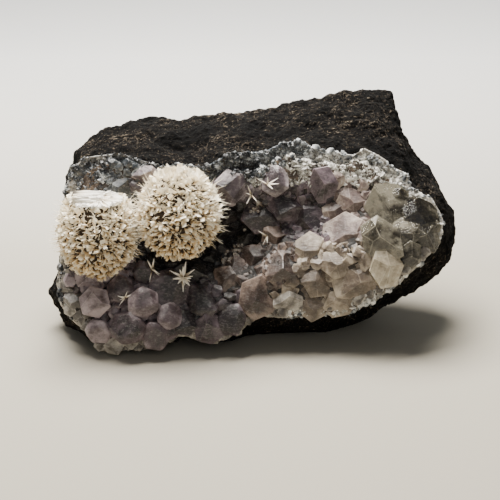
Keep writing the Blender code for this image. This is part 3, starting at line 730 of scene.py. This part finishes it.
def quartz_shape(rng, habit):
    """A crystal of half width 1: a six-sided prism with six uneven sloping faces, tip up."""
    slope, uneven, blunt, wear, softness = SHAPES[habit]
    slope = math.radians(slope)
    bm = bmesh.new()
    bmesh.ops.create_cone(
        bm, cap_ends=True, segments=6, radius1=1.0, radius2=1.0, depth=2 * FOOT_LEVEL,
    )
    tip = math.tan(slope) * math.cos(math.pi / 6)
    for side in range(6):
        angle = math.radians(30 + 60 * side)
        larger = 1.0 if side % 2 else 1.0 + uneven * 0.5
        height = tip * (larger + rng.uniform(-uneven, uneven) * 0.5)
        flat = math.sin(slope)
        normal = Vector((math.cos(angle) * flat, math.sin(angle) * flat, math.cos(slope)))
        cut_face(bm, Vector((0, 0, height)), normal)
    top = max(vert.co.z for vert in bm.verts)
    if blunt < 1:
        tilt = Vector((rng.uniform(-0.35, 0.35), rng.uniform(-0.35, 0.35), 1.0)).normalized()
        cut_face(bm, Vector((0, 0, top * blunt * rng.uniform(0.9, 1.1))), tilt)
    if wear:
        bmesh.ops.bevel(
            bm, geom=upper_edges(bm), affect="EDGES", offset=wear, segments=1, profile=0.5,
            material=-1, clamp_overlap=True,
        )
    if softness:
        bmesh.ops.triangulate(bm, faces=bm.faces)
        bmesh.ops.subdivide_edges(bm, edges=upper_edges(bm), cuts=3, use_grid_fill=True)
        relax(bm, lambda co: co.z > ABOVE_FOOT, softness)
        for face in bm.faces:
            face.smooth = True
    bmesh.ops.scale(bm, vec=(1.0, rng.uniform(0.68, 1.15), 1.0), verts=bm.verts)
    return keep_shape("quartz_" + habit, bm)


def blade_shape(width, thickness, chisel):
    """A flat blade of length 1 with its tip up, standing on z = 0."""
    bm = bmesh.new()
    bmesh.ops.create_cone(
        bm, cap_ends=True, segments=4, radius1=width / 2, radius2=width * chisel / 2, depth=1.0,
    )
    bmesh.ops.translate(bm, vec=(0, 0, 0.5), verts=bm.verts)
    bmesh.ops.scale(bm, vec=(1, thickness / width, 1), verts=bm.verts)
    return keep_shape("blade", bm)


# On a crystal of half width 1: faces smaller than this are bevelled edges, which get a painted
# highlight, and below this height its sides go down between crystals and get painted shade.
GLINT_EDGE_AREA = 0.045
SIDE_LEVEL = -0.5


def plant(bm, shape, place, tone, foot=None, outward=False, sides=0.0):
    """Adds a copy of a shape. growth holds its tone, the share of the way to tip or rim, and which
    small edges get a painted highlight.

    A crystal's sides, which go down from its rim to its foot, take the tone of sides: painted shade.
    """
    mesh, tip = shape
    first_vert, first_face = len(bm.verts), len(bm.faces)
    bm.from_mesh(mesh)
    bm.verts.ensure_lookup_table()
    bm.faces.ensure_lookup_table()
    tones = bm.loops.layers.float_color["growth"]
    for face in bm.faces[first_face:]:
        # Small bevelled faces are marked for a painted highlight.
        worn = float(not face.smooth and face.calc_area() < GLINT_EDGE_AREA)
        for loop in face.loops:
            co = loop.vert.co
            # Sides below SIDE_LEVEL get painted shade, the dark between crystals.
            if foot is not None and co.z < SIDE_LEVEL:
                loop[tones] = (sides, 0.0, 0.0, 1.0)
            else:
                loop[tones] = (tone, held(co.xy.length if outward else co.z / tip), worn, 1.0)
    for vert in bm.verts[first_vert:]:
        if foot is not None and vert.co.z < ABOVE_FOOT:
            vert.co.z = foot
        vert.co = place @ vert.co


def standing(axis):
    """The turn that stands a shape up along an axis."""
    return axis.to_track_quat("Z", "Y").to_matrix().to_4x4()


def crystal_place(x, y, half_width, reach, axis, turn, tip):
    """The matrix that stands a unit crystal on the bed with its tip at reach, and its foot."""
    lift = reach - half_width * tip
    place = (
        Matrix.Translation((x, y, bed(x, y))) @ standing(axis) @ Matrix.Translation((0, 0, lift))
        @ Matrix.Rotation(turn, 4, "Z") @ Matrix.Scale(half_width, 4)
    )
    foot = -(FOOT_DEPTH + lift) / half_width
    return place, min(-0.05, foot)


def in_ball(x, y, share):
    """Whether a place lies within that share of a ball's half sizes."""
    return any(
        math.hypot((x - middle.x) / half.x, (y - middle.y) / half.y) < share
        for middle, half in BALLS.values()
    )


# Small crystals: how many places are tried, how near two crystals may stand, in half widths,
# the range of their sizes and of their reach in half widths, and how far they lean.
CRYSTAL_TRIES = 12000
CRYSTAL_SPACING = 0.55
SMALL_SIZES, SMALL_REACH = (0.5, 1.3), (0.7, 1.5)
SMALL_LEAN = 0.25


def small_crystals(rng):
    """Small crystals between the large ones: places and half widths, none too near another."""
    taken = [(x, y, half) for x, y, half, *_ in CRYSTALS]
    found = []
    for _ in range(CRYSTAL_TRIES):
        x, y = rng.uniform(-68, 68), rng.uniform(1, 72)
        angle, distance = polar(x, y)
        if distance > crystal_limit(angle) - 0.3 or in_ball(x, y, 0.8):
            continue
        half = HABITS[zone_at(x, y)][1] * rng.uniform(*SMALL_SIZES)
        if all(math.hypot(x - a, y - b) > CRYSTAL_SPACING * (half + c) for a, b, c in taken):
            taken.append((x, y, half))
            found.append((x, y, half))
    return found


# Thin bright crystal edges along the ridge beside the hollow: its line, how many there are
# to each stretch of it, their half width and reach, and the tone of their sides, which is painted
# shade.
RIDGE = ((-9, 28), (-7.5, 34), (-4.2, 37.5), (-0.7, 41.3), (0, 46.9), (3.5, 52.8))
RIDGE_CRYSTALS = 16
RIDGE_HALF, RIDGE_REACH = (0.35, 0.9), (1.6, 3.4)
RIDGE_SIDE_SHADE = 0.1
# How far crystals' tones lie from the middle one, and how much painted shade darkens their sides.
TONE_SPREAD, SIDE_SHADE = 0.25, 0.4
FUSED_SPREAD, FUSED_SIDE_SHADE = 0.125, 0.12


def grow_ridge(rng, bm, shape):
    """The thin crystals along the ridge, leaning over the hollow."""
    for (x, y), (next_x, next_y) in zip(RIDGE, RIDGE[1:]):
        for _ in range(RIDGE_CRYSTALS):
            share = rng.random()
            spot_x = x + (next_x - x) * share + rng.gauss(0, 0.9)
            spot_y = y + (next_y - y) * share + rng.gauss(0, 0.9)
            axis = Vector((-0.9 + rng.gauss(0, 0.4), 0.3 + rng.gauss(0, 0.5), 1.0))
            place, foot = crystal_place(
                spot_x, spot_y, rng.uniform(*RIDGE_HALF), rng.uniform(*RIDGE_REACH), axis,
                rng.uniform(0, math.pi), shape[1],
            )
            plant(bm, shape, place, rng.uniform(0.3, 0.9), foot, True, RIDGE_SIDE_SHADE)


def make_crystals(finishes):
    """All the crystals, as one piece for each zone of colour."""
    rng = random.Random(8)
    shapes = {name: [quartz_shape(rng, name) for _ in range(SHAPES_PER_HABIT)] for name in SHAPES}
    groups = {name: bmesh.new() for name in finishes}
    for bm in groups.values():
        growth_layer(bm)
    rows = [
        (x, y, half, reach, Vector((lean_x, lean_y, 1.0)))
        for x, y, half, reach, lean_x, lean_y in CRYSTALS
    ]
    for x, y, half in small_crystals(rng):
        axis = leaning(rng, x, y, SMALL_LEAN)
        rows.append((x, y, half, half * rng.uniform(*SMALL_REACH), axis))
    for x, y, half, reach, axis in rows:
        angle, distance = polar(x, y)
        if distance > crystal_limit(angle):
            continue
        zone = zone_at(x, y, rng.uniform(-2.0, 2.0))
        habits, _, wider, shorter = HABITS[zone]
        shape = rng.choice(shapes[rng.choice(habits)])
        place, foot = crystal_place(
            x, y, half * wider, reach * shorter, axis, rng.uniform(0, math.pi), shape[1],
        )
        fused = zone in FUSED_ZONES
        tone = 0.5 + rng.uniform(-1.0, 1.0) * (FUSED_SPREAD if fused else TONE_SPREAD)
        # The sides are darker by painted shade, less where crystals are fused.
        sides = tone - (FUSED_SIDE_SHADE if fused else SIDE_SHADE)
        plant(groups[zone], shape, place, tone, foot, True, sides)
    grow_ridge(rng, groups["ridge"], shapes["point"][0])
    return [
        piece(name + "_crystals", bm, finishes[name], "amethyst", "amethyst_crust")
        for name, bm in groups.items()
    ]


# Grains tried along the broken edge. More are kept the wider the sugary band is, from none at
# GRAIN_START to all of them at GRAIN_FULL more. They run on among the crystals by GRAIN_OVERLAP.
# Most are fine, and a few are coarser by up to COARSER in half width.
GRAIN_TRIES = 17000
GRAIN_START, GRAIN_FULL, GRAIN_OVERLAP = 1.2, 9.0, 1.5
FINE_GRAIN, COARSER = (0.22, 0.5), 0.9
GRAIN_LEAN = 1.2
# Shards among the sugary grains: width, thickness and how wide the tip is.
SHARDS = ((1.6, 0.9, 0.3), (1.9, 0.7, 0.5), (1.4, 1.1, 0.1), (2.1, 1.0, 0.4), (1.5, 1.4, 0.6))
# The grains turn from bluish to white to the right of this x, over this width.
GRAIN_TURN, GRAIN_TURN_WIDTH = -5.0, 25.0


def make_grains(white, blue):
    """Sugary grains of quartz on the band along the broken edge, bluer toward the rock."""
    rng = random.Random(8)
    shapes = [quartz_shape(rng, "chip") for _ in range(3)]
    shapes += [blade_shape(*sizes) for sizes in SHARDS]
    groups = {"white": bmesh.new(), "blue": bmesh.new()}
    for bm in groups.values():
        growth_layer(bm)
    for _ in range(GRAIN_TRIES):
        angle = round(rng.uniform(-math.pi, math.pi), 3)
        edge = rim_reach(angle)
        width = edge - crystal_limit(angle)
        if rng.random() > (width - GRAIN_START) / GRAIN_FULL:
            continue
        distance = edge - (width + GRAIN_OVERLAP) * rng.random() ** 0.8
        x, y = FACE_MIDDLE + Vector((math.cos(angle), math.sin(angle))) * distance
        half = rng.uniform(*FINE_GRAIN) + COARSER * rng.random() ** 4
        axis = leaning(rng, x, y, GRAIN_LEAN)
        lift = rng.uniform(-0.5, 0.0) * half
        turn = Matrix.Rotation(rng.uniform(0, math.pi), 4, "Z")
        size = Matrix.Diagonal((half * rng.uniform(0.5, 1.6), half * rng.uniform(0.5, 1.2), half, 1.0))
        place = Matrix.Translation((x, y, ground(x, y) + lift)) @ standing(axis) @ turn @ size
        inward = (edge - distance) / width
        patch = noise.noise(Vector((x, y, 0.0)) / 4.0)
        right = held((x - GRAIN_TURN) / GRAIN_TURN_WIDTH)
        tone = rng.gauss(0.12 + 0.2 * inward + 0.5 * patch + 0.42 * right, 0.18)
        bluish = inward + 0.5 * patch < 1.3 - 1.05 * right
        plant(groups["blue" if bluish else "white"], rng.choice(shapes), place, tone, outward=True)
    piece("sugary_quartz", groups["white"], white, "chalcedony", "chalcedony_rind")
    piece("blue_quartz", groups["blue"], blue, "chalcedony", "chalcedony_rind")


# A ball's blades and needles: how many are tried, and the thickness and tip of each kind of
# blade, in widths. Blades and needles root at a share of the way out.
BLADE_COUNT, NEEDLE_COUNT = 3000, 1000
BLADES = ((0.16, 0.7), (0.1, 0.5), (0.22, 0.3))
BLADE_ROOTS, BLADE_LENGTH = (0.83, 0.93), (1.8, 3.2)
NEEDLE_ROOT, NEEDLE_LENGTH, NEEDLE_WIDTH = 0.85, (2.4, 4.0), (0.3, 0.55)
# Needles past this share of the way to a ball's left and right sides are longer.
SIDE_START, SIDE_LONGER = 0.75, (1.2, 1.9)
# Half the blades are wavy ones, wide and upright, and half are leaning chips: the least and
# the most sway and width of each.
WAVY_SWAY, WAVY_WIDTH = (0.1, 0.9), (1.3, 2.6)
CHIP_SWAY, CHIP_WIDTH = (0.8, 4.0), (0.7, 1.7)


def ball_directions(count, rng):
    """Evenly spread directions with a little unevenness."""
    golden = math.pi * (3 - math.sqrt(5))
    for number in range(count):
        z = 1 - 2 * (number + 0.5) / count
        flat = math.sqrt(1 - z * z)
        spot = Vector((math.cos(golden * number) * flat, math.sin(golden * number) * flat, z))
        yield (spot + Vector([rng.gauss(0, 0.03) for _ in range(3)])).normalized()


def spine_place(middle, half, spot, root, length, sway, broad, width):
    """Stands a blade on a ball, its root at a share of the way out, its broad side along broad."""
    foot = middle + Vector([a * b * root for a, b in zip(spot, half)])
    out = Vector([a / b for a, b in zip(spot, half)]).normalized()
    axis = (out + sway).normalized()
    side = axis.cross(broad).cross(axis).normalized()
    turned = Matrix((side, axis.cross(side), axis)).transposed().to_4x4()
    return Matrix.Translation(foot) @ turned @ Matrix.Diagonal((width, width, length, 1.0))


def lit_spine_tone(rng, spot):
    """A spine's tone: random, with painted light on the ball's upper side and painted shade below."""
    return rng.gauss(0.62 + 0.95 * spot.dot(UP), 0.2)


def ball_core(middle, half):
    """The ball's lumpy core, as a bmesh with its growth colours: dark ochre, partly stain and partly
    painted shade between the blades.
    """
    bm = bmesh.new()
    bmesh.ops.create_icosphere(bm, subdivisions=5, radius=1.0)
    for vert in bm.verts:
        lump = 0.90 + 0.04 * noise.noise(vert.co * 5.0) + 0.06 * noise.noise(vert.co * 14.0)
        vert.co = middle + Vector([a * b * lump for a, b in zip(vert.co, half)])
    # Lowest tone and share: the core shows dark between the blades, as stain and painted shade.
    paint(bm, lambda x, y: (0.0, 0.05, 0.0, 1.0))
    return bm


def make_ball(side, finish):
    """A ball of radiating zeolite: a dark core of stain and painted shade, chisel-tipped blades and
    fine needles.
    """
    rng = random.Random(side)
    middle, half = BALLS[side]
    bm = ball_core(middle, half)
    blades = [blade_shape(1.0, thick, chisel) for thick, chisel in BLADES]
    needle = blade_shape(1.0, 0.9, 0.1)
    for spot in ball_directions(BLADE_COUNT, rng):
        if noise.noise(spot * 6.5 + middle) > rng.uniform(0.05, 0.4):
            continue
        around = Vector([rng.gauss(0, 1) for _ in range(3)]).cross(spot).normalized()
        broad = Vector((1.0, rng.gauss(0, 0.6), rng.gauss(0, 0.6)))
        sways, widths = (WAVY_SWAY, WAVY_WIDTH) if rng.random() < 0.5 else (CHIP_SWAY, CHIP_WIDTH)
        root, length = rng.uniform(*BLADE_ROOTS), rng.uniform(*BLADE_LENGTH)
        sway = around * rng.uniform(*sways)
        place = spine_place(middle, half, spot, root, length, sway, broad, rng.uniform(*widths))
        plant(bm, rng.choice(blades), place, lit_spine_tone(rng, spot))
    for spot in ball_directions(NEEDLE_COUNT, rng):
        sway = Vector([rng.gauss(0, 0.4) for _ in range(3)])
        length = rng.uniform(*NEEDLE_LENGTH)
        if abs(spot.x) > SIDE_START:
            length *= rng.choice(SIDE_LONGER)
        width = rng.uniform(*NEEDLE_WIDTH)
        place = spine_place(middle, half, spot, NEEDLE_ROOT, length, sway, UP, width)
        plant(bm, needle, place, lit_spine_tone(rng, spot))
    if side == "left":
        cut_off(bm, UP * (middle.dot(UP) + BREAK_HEIGHT), UP)
        bmesh.ops.holes_fill(bm, edges=[e for e in bm.edges if e.is_boundary], sides=0)
    piece("zeolite_spines_" + side, bm, finish, "zeolite", "zeolite_ball_" + side)


# Fibres of the broken top: those that lie level and radiate, and the ledge of longer ones
# that stands up at its left.
LEVEL_FIBRES = 420
LEDGE_FIBRES = 130
LEDGE_WIDTH = 0.8


def make_broken_top(finish):
    """The level broken top of the left ball: white fibres that radiate from its middle."""
    rng = random.Random(3)
    middle, half = BALLS["left"]
    bm = bmesh.new()
    growth_layer(bm)
    fibre = blade_shape(1.0, 0.5, 0.7)
    across = Vector((1.0, 0.0, 0.0))
    inward = UP.cross(across)
    share = math.sqrt(1 - (BREAK_HEIGHT / half.y) ** 2)
    centre = middle + UP * BREAK_HEIGHT
    for _ in range(LEVEL_FIBRES):
        angle = rng.uniform(0, 2 * math.pi)
        cos, sin = math.cos(angle), math.sin(angle)
        out = across * cos + inward * sin
        reach = share * math.hypot(cos * half.x, sin * half.z)
        start = rng.uniform(0.0, 0.55) * reach
        ragged = 0.93 + 0.16 * noise.noise(Vector((cos, sin, 0.0)) * 3.0)
        length = reach * ragged * rng.uniform(0.92, 1.06) - start
        foot = centre + out * start + UP * rng.uniform(-0.7, 0.15)
        axis = (out + UP * rng.uniform(-0.08, 0.05)).normalized()
        width = rng.uniform(0.5, 1.3)
        turn = Matrix.Rotation(rng.uniform(0, math.pi), 4, "Z")
        size = Matrix.Diagonal((width, width, length, 1.0))
        place = Matrix.Translation(foot) @ standing(axis) @ turn @ size
        plant(bm, fibre, place, rng.uniform(0, 1))
    for _ in range(LEDGE_FIBRES):
        start, deep = rng.uniform(-8.0, -5.0), rng.uniform(-5.5, 1.0)
        foot = centre + across * start + inward * deep + UP * rng.uniform(-0.5, 2.6)
        axis = across + UP * rng.uniform(-0.12, 0.06) + inward * rng.uniform(-0.1, 0.1)
        size = Matrix.Diagonal((LEDGE_WIDTH, LEDGE_WIDTH, rng.uniform(4.0, 9.5), 1.0))
        plant(bm, fibre, Matrix.Translation(foot) @ standing(axis) @ size, rng.uniform(0, 1))
    piece("zeolite_broken_top", bm, finish, "zeolite", "zeolite_ball_left")


# The first spray is a full star. The others are a few finer needles, mostly along one line.
STAR = 1
STAR_NEEDLES = 16
# Rays down to the crystals start this high over the face.
ABOVE_ALL = 60.0


def make_sprays(finish, crust):
    """The star-shaped sprays, each on the crystals where its solid stands."""
    rng = random.Random(21)
    needle = blade_shape(1.0, 0.8, 0.12)
    to_face = FACE.inverted()
    graph = bpy.context.evaluated_depsgraph_get()
    trees = [BVHTree.FromObject(obj, graph) for obj in crust]
    for number in range(1, SPRAY_COUNT + 1):
        name = f"zeolite_spray_{number}"
        low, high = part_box(name)
        middle = to_face @ ((low + high) / 2)
        start = FACE @ Vector((middle.x, middle.y, ABOVE_ALL))
        hits = [tree.ray_cast(start, -FACE.col[2].xyz)[0] for tree in trees]
        middle.z = max((to_face @ hit).z for hit in hits if hit) + 0.3
        reach = (high - low).length / MM / 2
        bm = bmesh.new()
        growth_layer(bm)
        star = number == STAR
        heading = rng.uniform(0, 2 * math.pi)
        count = STAR_NEEDLES if star else rng.choice((4, 5, 6))
        for blade in range(count):
            turn = 2 * math.pi * blade / count if star else heading + math.pi * (blade % 3 == 0)
            turn += rng.gauss(0, 0.2 if star else 0.6)
            axis = Vector((math.cos(turn), math.sin(turn), rng.uniform(0.05, 1.2))).normalized()
            length = reach * rng.uniform(0.8, 1.6)
            width = rng.uniform(1.1, 1.7) if star else rng.uniform(0.5, 1.0)
            size = Matrix.Diagonal((width, width, length, 1.0))
            place = Matrix.Translation(middle) @ standing(axis) @ size
            plant(bm, needle, place, rng.uniform(0, 1))
        piece(f"needle_spray_{number}", bm, finish, "zeolite", name)


# The photograph's frame: 0.35 mm a pixel on the face, seen from this far.
VIEW_DISTANCE = 500.0
FRAME_WIDTH = 175.0
FRAME_MIDDLE = Vector((-0.7, 37.1, 0.0))
SENSOR_WIDTH = 36.0


def make_camera():
    """The camera, square on to the crystal face."""
    data = bpy.data.cameras.new("camera")
    data.sensor_width = SENSOR_WIDTH
    data.lens = SENSOR_WIDTH * VIEW_DISTANCE / FRAME_WIDTH
    data.clip_start = 0.01
    obj = bpy.data.objects.new("camera", data)
    eye = FACE @ (FRAME_MIDDLE + Vector((0, 0, VIEW_DISTANCE)))
    turn = Matrix.Rotation(math.pi / 2 - FACE_LEAN, 4, "X")
    obj.matrix_world = Matrix.Translation(eye) @ turn
    bpy.context.scene.collection.objects.link(obj)
    bpy.context.scene.camera = obj


# The lights, in metres and watts: name, place, aim, size, power and colour. A wide soft one
# overhead, a weak one in front, and one on the sweep of the board behind.
LIGHTS = (
    ("overhead", (-0.08, 0.12, 0.55), (0.0, 0.0, 0.04), (0.42, 0.32), 19.0, "#fffaf2"),
    ("front", (0.1, -0.9, 0.5), (0.0, 0.0, 0.04), (0.5, 0.5), 1.1, "#ffffff"),
    ("sweep", (0.0, 0.55, 0.9), (0.0, 1.5, 0.4), (1.2, 0.4), 15.5, "#ffffff"),
)
SURROUND_COLOUR = "#e6e7e6"
SURROUND_STRENGTH = 0.26


def make_light():
    """The lights and an even pale surround."""
    for name, place, aim, size, power, colour in LIGHTS:
        data = bpy.data.lights.new(name, "AREA")
        data.shape = "RECTANGLE"
        data.size, data.size_y = size
        data.energy = power
        data.color = srgb(colour)[:3]
        obj = bpy.data.objects.new(name, data)
        obj.location = place
        obj.rotation_euler = (Vector(aim) - Vector(place)).to_track_quat("-Z", "Y").to_euler()
        bpy.context.scene.collection.objects.link(obj)
    world = bpy.data.worlds.new("surround")
    world.use_nodes = True
    sky = world.node_tree.nodes["Background"]
    sky.inputs["Color"].default_value = srgb(SURROUND_COLOUR)
    sky.inputs["Strength"].default_value = SURROUND_STRENGTH
    bpy.context.scene.world = world


# The board under the specimen, in metres: half its width and depth, its height behind, and
# the bend between the two.
BOARD_HALF = 1.6
BOARD_BEND = 0.9


def make_floor():
    """A pale board that sweeps up behind the specimen."""
    bm = bmesh.new()
    bmesh.ops.create_grid(bm, x_segments=1, y_segments=1, size=BOARD_HALF)
    back = [edge for edge in bm.edges if min(v.co.y for v in edge.verts) > 0]
    raised = bmesh.ops.extrude_edge_only(bm, edges=back)["geom"]
    verts = [part for part in raised if isinstance(part, bmesh.types.BMVert)]
    bmesh.ops.translate(bm, vec=(0, 0, BOARD_HALF), verts=verts)
    bmesh.ops.bevel(
        bm, geom=back, affect="EDGES", offset=BOARD_BEND, segments=24, profile=0.5, material=-1,
    )
    for face in bm.faces:
        face.smooth = True
    board = new_object("pale_board", bm)
    board.data.materials.append(matte_board())
    board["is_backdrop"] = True


def main():
    make_camera()
    make_light()
    make_floor()
    make_rock(broken_basalt())
    make_rind(sugary_rind())
    crust = [make_bed(quartz(*FLOOR_QUARTZ))]
    crust += make_crystals({zone: quartz(*recipe) for zone, recipe in ZONE_QUARTZ.items()})
    make_grains(quartz(*WHITE_SUGAR), quartz(*BLUE_SUGAR))
    spines = silky_zeolite(*BALL_ZEOLITE)
    make_ball("left", spines)
    make_broken_top(silky_zeolite(*BREAK_ZEOLITE))
    make_ball("right", spines)
    make_sprays(silky_zeolite(*SPRAY_ZEOLITE), crust)


main()
boxes = {"cad": cad_box, "visual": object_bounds()}
{name: [list(corner) for corner in box] for name, box in boxes.items()}
